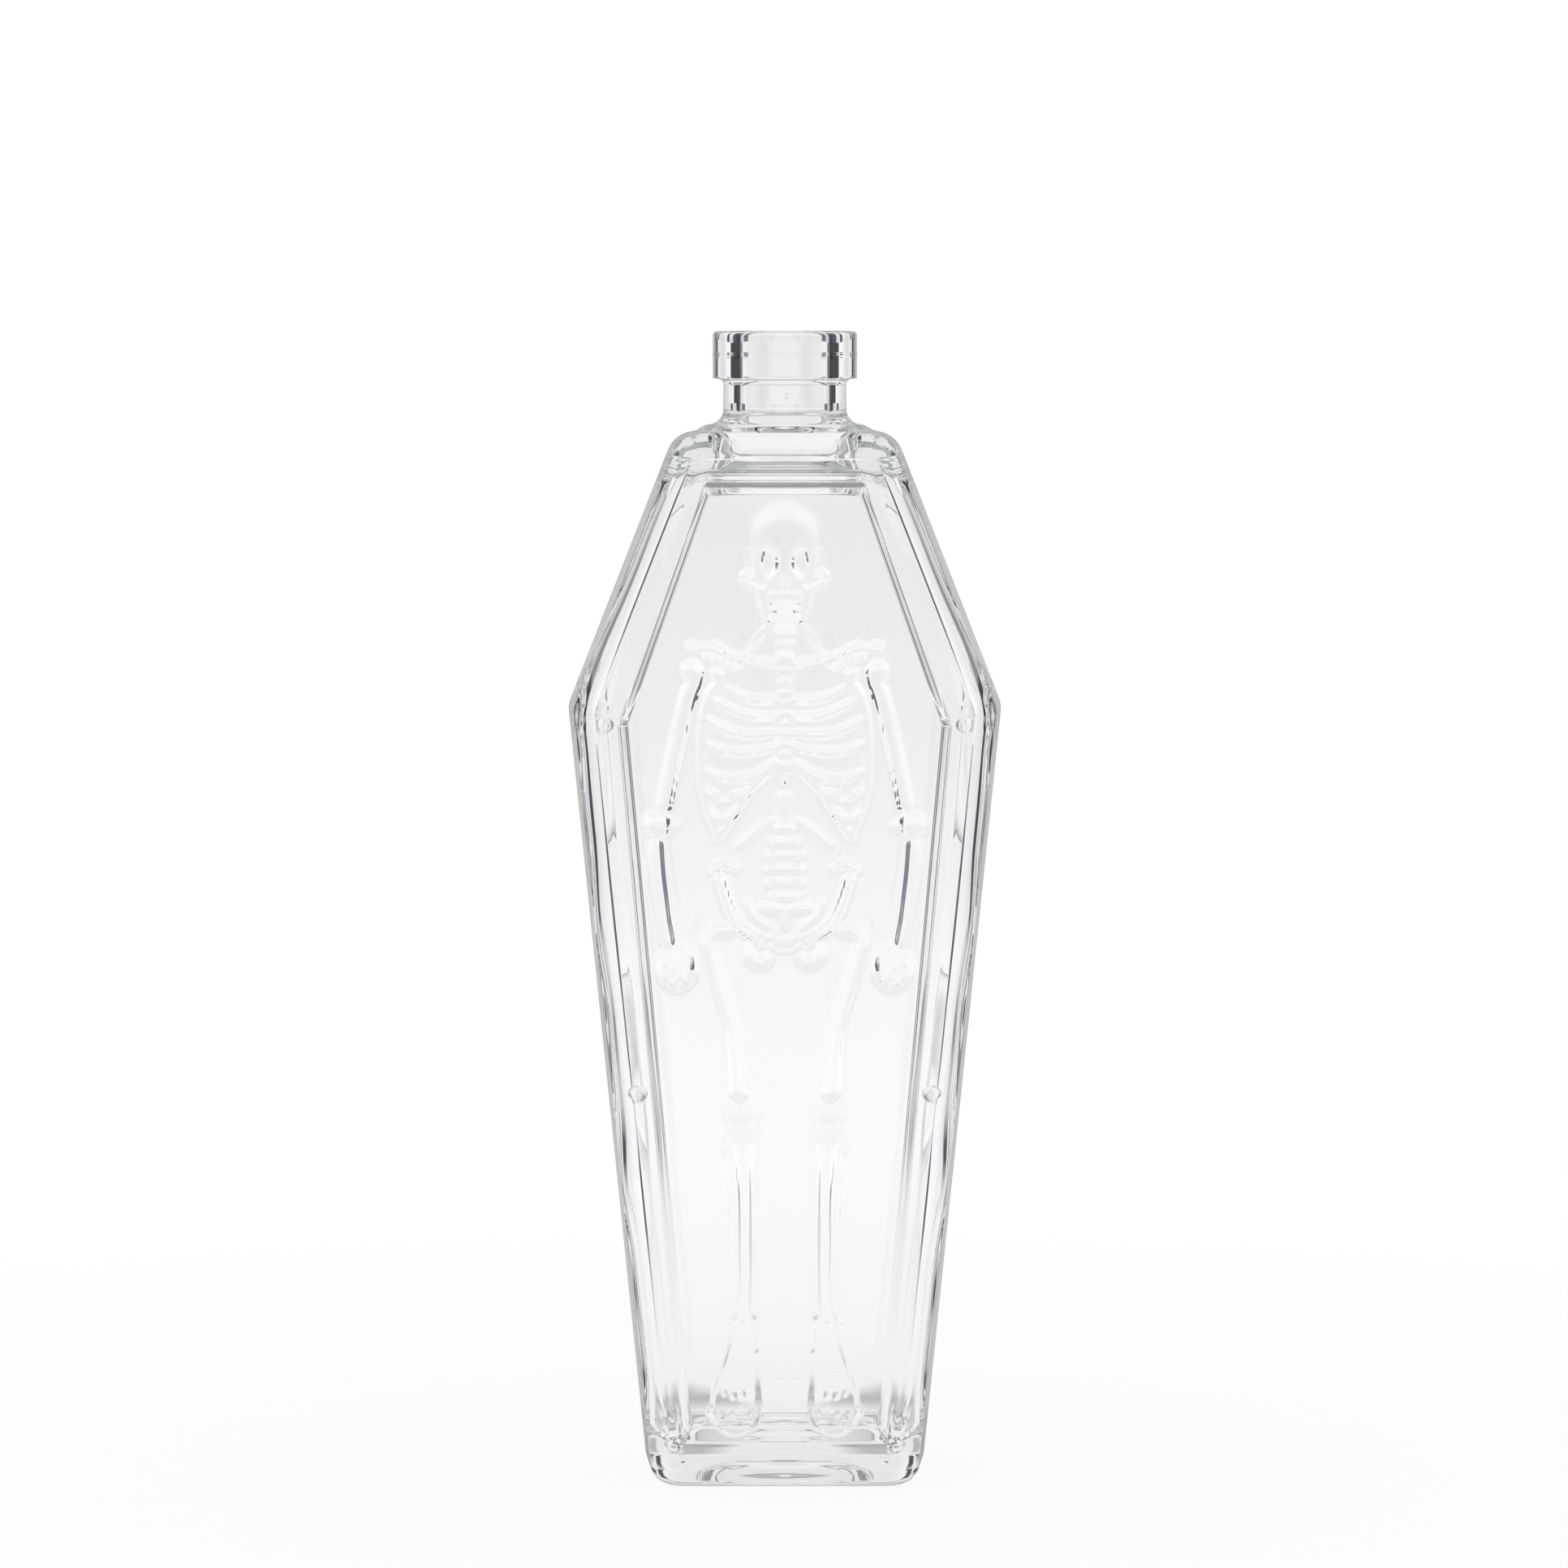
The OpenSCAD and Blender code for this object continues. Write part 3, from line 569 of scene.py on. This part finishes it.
def shell(name, points):
    """A tube through rings of points, rolled up from a flat grid."""
    bpy.ops.object.select_all(action="DESELECT")
    rows, columns = points.shape[:2]
    bpy.ops.mesh.primitive_grid_add(x_subdivisions=columns, y_subdivisions=rows - 1, size=1)
    tube = bpy.context.object
    tube.name = name
    rolled = np.concatenate([points, points[:, :1]], axis=1) * MM
    tube.data.vertices.foreach_set("co", rolled.reshape(-1))
    bpy.ops.object.mode_set(mode="EDIT")
    bpy.ops.mesh.select_all(action="SELECT")
    bpy.ops.mesh.remove_doubles(threshold=merge_gap)
    bpy.ops.object.mode_set(mode="OBJECT")
    return tube


bottle = shell("bottle_glass", outside)
inner = shell("inside", hollow_points)


def rim(piece, z, reach):
    """Selects the open edge of a shell at height z, out to reach from the bottle's axis."""
    bpy.ops.object.mode_set(mode="EDIT")
    bpy.ops.mesh.select_mode(type="EDGE")
    bpy.ops.mesh.select_all(action="DESELECT")
    bpy.ops.object.mode_set(mode="OBJECT")
    mesh = bmesh.new()
    mesh.from_mesh(piece.data)
    for e in mesh.edges:
        level = all(abs(v.co.z - z * MM) < level_gap for v in e.verts)
        close = all(math.hypot(v.co.x, v.co.y) < reach * MM for v in e.verts)
        if e.is_boundary and level and close:
            e.select_set(True)
    mesh.to_mesh(piece.data)
    mesh.free()
    bpy.ops.object.mode_set(mode="EDIT")


for piece, z in ((bottle, rings[0][0][2]), (inner, hollow_rings[-1][0][2])):
    bpy.ops.object.select_all(action="DESELECT")
    bpy.context.view_layer.objects.active = piece
    piece.select_set(True)
    rim(piece, z, 5)
    bpy.ops.mesh.edge_face_add()
    bpy.ops.object.mode_set(mode="OBJECT")
bpy.ops.object.select_all(action="DESELECT")
inner.select_set(True)
bottle.select_set(True)
bpy.context.view_layer.objects.active = bottle
bpy.ops.object.join()
rim(bottle, top_z, 20)
bpy.ops.mesh.bridge_edge_loops()
bpy.ops.mesh.select_all(action="SELECT")
bpy.ops.mesh.normals_make_consistent(inside=False)
bpy.ops.object.mode_set(mode="OBJECT")

# Nail heads
# Six domed nail heads stand on the frame, as on a coffin's lid: two by the foot, two at the shins and two at
# the elbows. They are part of the moulding, so each dome has a stem in the glass and is welded to it.
nail_low, nail_high = (np.array(c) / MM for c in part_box("nail_heads"))
nail_r = 1.8
nail_rise = front_y - nail_low[1]
nail_gap, foot_nail_gap = 2.7, 1.85
shin_z = 81.1
dome_base, stem = 0.013, 2.4
foot_nail_z, elbow_nail_z = nail_low[2] + nail_r, nail_high[2] - nail_r
nails = []
for side in (-1, 1):
    for z, gap in ((foot_nail_z, foot_nail_gap), (shin_z, nail_gap), (elbow_nail_z, nail_gap)):
        x = side * (opening_half(z) + gap)
        bpy.ops.object.select_all(action="DESELECT")
        bpy.ops.mesh.primitive_uv_sphere_add(segments=36, ring_count=20, radius=nail_r * MM)
        nail = bpy.context.object
        bpy.ops.object.mode_set(mode="EDIT")
        bpy.ops.mesh.select_all(action="SELECT")
        bpy.ops.transform.resize(value=(1, nail_rise / nail_r, 1))
        bpy.ops.transform.translate(value=(x * MM, front_y * MM, z * MM))
        bpy.ops.mesh.bisect(plane_co=(0, (front_y - dome_base) * MM, 0), plane_no=(0, 1, 0), clear_outer=True)
        bpy.ops.mesh.select_all(action="DESELECT")
        bpy.ops.mesh.select_non_manifold()
        bpy.ops.mesh.extrude_region_move(TRANSFORM_OT_translate={"value": (0, stem * MM, 0)})
        bpy.ops.mesh.edge_face_add()
        bpy.ops.mesh.select_all(action="SELECT")
        bpy.ops.mesh.normals_make_consistent(inside=False)
        bpy.ops.object.mode_set(mode="OBJECT")
        nails.append(nail)
bpy.ops.object.select_all(action="DESELECT")
for nail in nails:
    nail.select_set(True)
bpy.context.view_layer.objects.active = nails[0]
bpy.ops.object.join()
nails = bpy.context.object
weld = bottle.modifiers.new("weld", "BOOLEAN")
weld.operation = "UNION"
weld.solver = "EXACT"
weld.object = nails
bpy.ops.object.select_all(action="DESELECT")
bpy.context.view_layer.objects.active = bottle
bottle.select_set(True)
bpy.ops.object.modifier_apply(modifier="weld")
bpy.data.objects.remove(nails)
bpy.ops.object.shade_smooth_by_angle(angle=math.radians(50))

# Clear glass
# Plain soda-lime glass: colourless where it is thin, a little green where it is thick. Its surface is never
# quite flat, with faint waves that are drawn out up the bottle.
glass = bpy.data.materials.new("clear_glass")
glass.use_nodes = True
tree = glass.node_tree
shader = tree.nodes["Principled BSDF"]
shader.inputs["Base Color"].default_value = (1.0, 0.988, 0.995, 1)
shader.inputs["Roughness"].default_value = 0.0
shader.inputs["IOR"].default_value = 1.52
shader.inputs["Transmission Weight"].default_value = 1.0
place = tree.nodes.new("ShaderNodeTexCoord")
drawn = tree.nodes.new("ShaderNodeMapping")
drawn.inputs["Scale"].default_value = (1.0, 1.0, 0.3)
wave = tree.nodes.new("ShaderNodeTexNoise")
wave.inputs["Scale"].default_value = 75
wave.inputs["Detail"].default_value = 1
wavy = tree.nodes.new("ShaderNodeBump")
wavy.inputs["Strength"].default_value = 0.12
wavy.inputs["Distance"].default_value = 0.0006
tree.links.new(place.outputs["Object"], drawn.inputs["Vector"])
tree.links.new(drawn.outputs["Vector"], wave.inputs["Vector"])
tree.links.new(wave.outputs["Fac"], wavy.inputs["Height"])
tree.links.new(wavy.outputs["Normal"], shader.inputs["Normal"])
tint = tree.nodes.new("ShaderNodeVolumeAbsorption")
tint.inputs["Color"].default_value = (0.69, 0.745, 0.705, 1)
tint.inputs["Density"].default_value = 8.0
tree.links.new(tint.outputs["Volume"], tree.nodes["Material Output"].inputs["Volume"])
bottle.data.materials.clear()
bottle.data.materials.append(glass)
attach(bottle, "root")
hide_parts(*[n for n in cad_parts])

# Floor
# A plain pale table, which keeps a faint shadow at the foot. Seen through the glass it glows with painted
# light, brightest just behind the bottle. There it has painted shade in a few directions and a painted
# shadow in a patch round the foot, which draw the dark lines along the edges of the glass and the wedges at
# its base.
table_size = 14
bpy.ops.object.select_all(action="DESELECT")
bpy.ops.mesh.primitive_plane_add(size=table_size, location=(0, 0, 0))
floor = bpy.context.object
floor.name = "floor"
white = bpy.data.materials.new("white_floor")
white.use_nodes = True
tree = white.node_tree
paint = tree.nodes["Principled BSDF"]
paint.inputs["Base Color"].default_value = (0.82, 0.82, 0.82, 1)
paint.inputs["Roughness"].default_value = 0.9
paint.inputs["Specular IOR Level"].default_value = 0.0


def add(tree, kind, links=(), **settings):
    """Adds a node, sets it, and links or sets what comes into it."""
    node = tree.nodes.new(kind)
    for name, value in settings.items():
        setattr(node, name, value)
    for socket, source in links:
        if hasattr(source, "is_linked"):
            tree.links.new(source, node.inputs[socket])
        else:
            node.inputs[socket].default_value = source
    return node


def calc(tree, operation, *values, **settings):
    """A sum done on values or on what comes out of other nodes."""
    return add(tree, "ShaderNodeMath", list(enumerate(values)), operation=operation, **settings).outputs[0]


def blend(tree, share, first, second, kind="MIX"):
    """A colour on the way from first to second, or, for MULTIPLY, to their product."""
    return add(tree, "ShaderNodeMix", [("Factor", share), (6, first), (7, second)], data_type="RGBA",
               blend_type=kind).outputs[2]


def shades(tree, source, stops):
    """A shade that changes along a value from 0 to 1, as (place, grey) or (place, colour) stops."""
    ramp = add(tree, "ShaderNodeValToRGB", [("Fac", source)])
    band = ramp.color_ramp
    for place, value in stops:
        ends = {0: band.elements[0], 1: band.elements[-1]}
        mark = ends[place] if place in ends else band.elements.new(place)
        mark.color = (*value, 1) if isinstance(value, tuple) else (value, value, value, 1)
    return ramp.outputs["Color"]


def sectors(tree, turn, stops):
    """A shade that changes with an angle from 0 to 90 degrees, as (degrees, shade) stops."""
    return shades(tree, turn, [(degrees / 90, value) for degrees, value in stops])


def grows(tree, source, start, stop):
    """A share that is 0 up to start and 1 from stop on."""
    return shades(tree, source, [(0, 0.0), (start, 0.0), (stop, 1.0), (1, 1.0)])


def azimuth(tree, way):
    """The angle of a place or direction from the bottle's front or back to its sides, as a share of 90
    degrees."""
    across = calc(tree, "ABSOLUTE", way.outputs["X"])
    ahead = calc(tree, "ABSOLUTE", way.outputs["Y"])
    return calc(tree, "DIVIDE", calc(tree, "ARCTAN2", across, ahead), math.pi / 2)


spot = add(tree, "ShaderNodeTexCoord").outputs["Object"]
far = add(tree, "ShaderNodeVectorMath", [(0, spot)], operation="LENGTH").outputs["Value"]
reach = calc(tree, "DIVIDE", far, table_size / 2)
turn = azimuth(tree, add(tree, "ShaderNodeSeparateXYZ", [("Vector", spot)]))
# Seen through the glass the table's emission is painted light: a glow brightest just behind the bottle, with
# painted shade in sectors towards the sides (slit, side_shade) away from the foot.
slit, side_shade = (0.06, 0.06, 0.09), (0.05, 0.05, 0.08)
glow = shades(tree, reach, [(0, 0.94), (0.012, 0.94), (0.03, 0.97), (0.056, 1.0), (0.085, 1.03), (0.15, 0.99),
                            (0.3, 0.92), (1, 0.87)])
# Painted shadow: a dark ring round the foot, in sectors a little off the front and back, darkens the painted
# glow that the glass shows behind its base.
painted_shadow_ring = shades(tree, reach, [(0, 0.0), (0.0056, 0.0), (0.0064, 1.0), (0.0112, 1.0), (0.0128, 0.0), (1, 0.0)])
shadow_ring_sectors = sectors(tree, turn, [(0, 0.0), (9, 0.0), (14, 0.6), (40, 0.6), (60, 0.0), (90, 0.0)])
base = blend(tree, calc(tree, "MULTIPLY", painted_shadow_ring, shadow_ring_sectors), glow, (0.1, 0.12, 0.1, 1))
painted_dark_sectors = sectors(tree, turn, [(0, 0.98), (9, 1.0), (22, 1.08), (25, slit), (32, slit), (35, 0.92), (46, 0.85),
                             (50, side_shade), (76, side_shade), (80, 0.8), (90, 0.8)])
lined = blend(tree, grows(tree, reach, 0.03, 0.09), (1, 1, 1, 1), painted_dark_sectors)
through = add(tree, "ShaderNodeEmission", [("Color", blend(tree, 1.0, base, lined, "MULTIPLY")),
                                           ("Strength", 1.0)])
seen = add(tree, "ShaderNodeEmission", [("Color", (1, 1, 1, 1)), ("Strength", 1.0)])
ray = add(tree, "ShaderNodeLightPath")
seen_share = calc(tree, "MULTIPLY", ray.outputs["Is Camera Ray"],
                  shades(tree, reach, [(0, 0.93), (0.06, 1.0), (1, 1.0)]))
mix = add(tree, "ShaderNodeMixShader", [(0, ray.outputs["Is Transmission Ray"]), (1, paint.outputs["BSDF"]),
                                        (2, through.outputs["Emission"])])
mix = add(tree, "ShaderNodeMixShader", [(0, seen_share), (1, mix.outputs["Shader"]),
                                        (2, seen.outputs["Emission"])])
tree.links.new(mix.outputs["Shader"], tree.nodes["Material Output"].inputs["Surface"])
floor.data.materials.append(white)

# Light
# A soft white surround, plain white to the camera. At the height of the neck it is dark towards the sides,
# and above that it has narrow dark slits, as between a studio's panels, which draw the dark lines along the
# edges of the glass. It dims towards the ceiling, and its mirror image on the glass is half as bright.
world = bpy.data.worlds.new("surround")
bpy.context.scene.world = world
world.use_nodes = True
tree = world.node_tree
way = add(tree, "ShaderNodeSeparateXYZ", [("Vector", add(tree, "ShaderNodeTexCoord").outputs["Generated"])])
turn = azimuth(tree, way)
up = calc(tree, "ABSOLUTE", way.outputs["Z"])
cone = calc(tree, "DIVIDE", calc(tree, "ARCCOSINE", calc(tree, "ABSOLUTE", way.outputs["Y"])), math.pi / 2)
night, slit, side_dim = (0.006, 0.006, 0.02), 0.06, 0.3
middle_zone = (0.3, 0.42)
neck_level = sectors(tree, turn, [(0, 0.9), (10, 0.92), (24, 1.02), (36, 1.04), (41, night), (74, night),
                                  (80, 0.75), (90, 0.8)])
slits = sectors(tree, turn, [(0, 1.0), (22, 1.0), (25, slit), (32, slit), (35, 1.0), (90, 1.0)])
low = blend(tree, grows(tree, up, 0.03, 0.045), neck_level, slits, "MULTIPLY")
wall_level = sectors(tree, cone, [(0, 0.88), (10, 0.9), (22, 1.04), (25, slit), (32, slit), (35, 0.95),
                                  (90, 0.85)])
sides = sectors(tree, turn, [(0, 1.0), (38, 1.0), (42, side_dim), (73, side_dim), (78, 1.0), (90, 1.0)])
fades = shades(tree, up, [(0, 1.0), (middle_zone[0], 1.0), (middle_zone[1], 0.0), (1, 0.0)])
middle = blend(tree, fades, wall_level, sides, "MULTIPLY")
high = shades(tree, up, [(0, 1.0), (0.3, 1.04), (0.58, 1.0), (0.7, (0.42, 0.44, 0.42)), (1, 0.3)])
lower = blend(tree, grows(tree, up, 0.1, 0.16), low, middle)
around = blend(tree, grows(tree, up, *middle_zone), lower, high)
sky = tree.nodes["Background"]
tree.links.new(around, sky.inputs["Color"])
sky.inputs["Strength"].default_value = 1.0
plain = add(tree, "ShaderNodeBackground", [("Color", (1, 1, 1, 1)), ("Strength", 1.0)])
dim = add(tree, "ShaderNodeBackground", [("Color", around), ("Strength", 0.5)])
ray = add(tree, "ShaderNodeLightPath")
mirror = calc(tree, "SUBTRACT", ray.outputs["Is Glossy Ray"], ray.outputs["Is Transmission Ray"],
              use_clamp=True)
mirrored = add(tree, "ShaderNodeMixShader", [(0, mirror), (1, sky.outputs["Background"]),
                                             (2, dim.outputs["Background"])])
choose = add(tree, "ShaderNodeMixShader", [(0, ray.outputs["Is Camera Ray"]), (1, mirrored.outputs["Shader"]),
                                           (2, plain.outputs["Background"])])
tree.links.new(choose.outputs["Shader"], tree.nodes["World Output"].inputs["Surface"])

scene = bpy.context.scene
scene.view_settings.view_transform = "Standard"
scene.cycles.max_bounces = 64
scene.cycles.transmission_bounces = 64
scene.cycles.glossy_bounces = 64
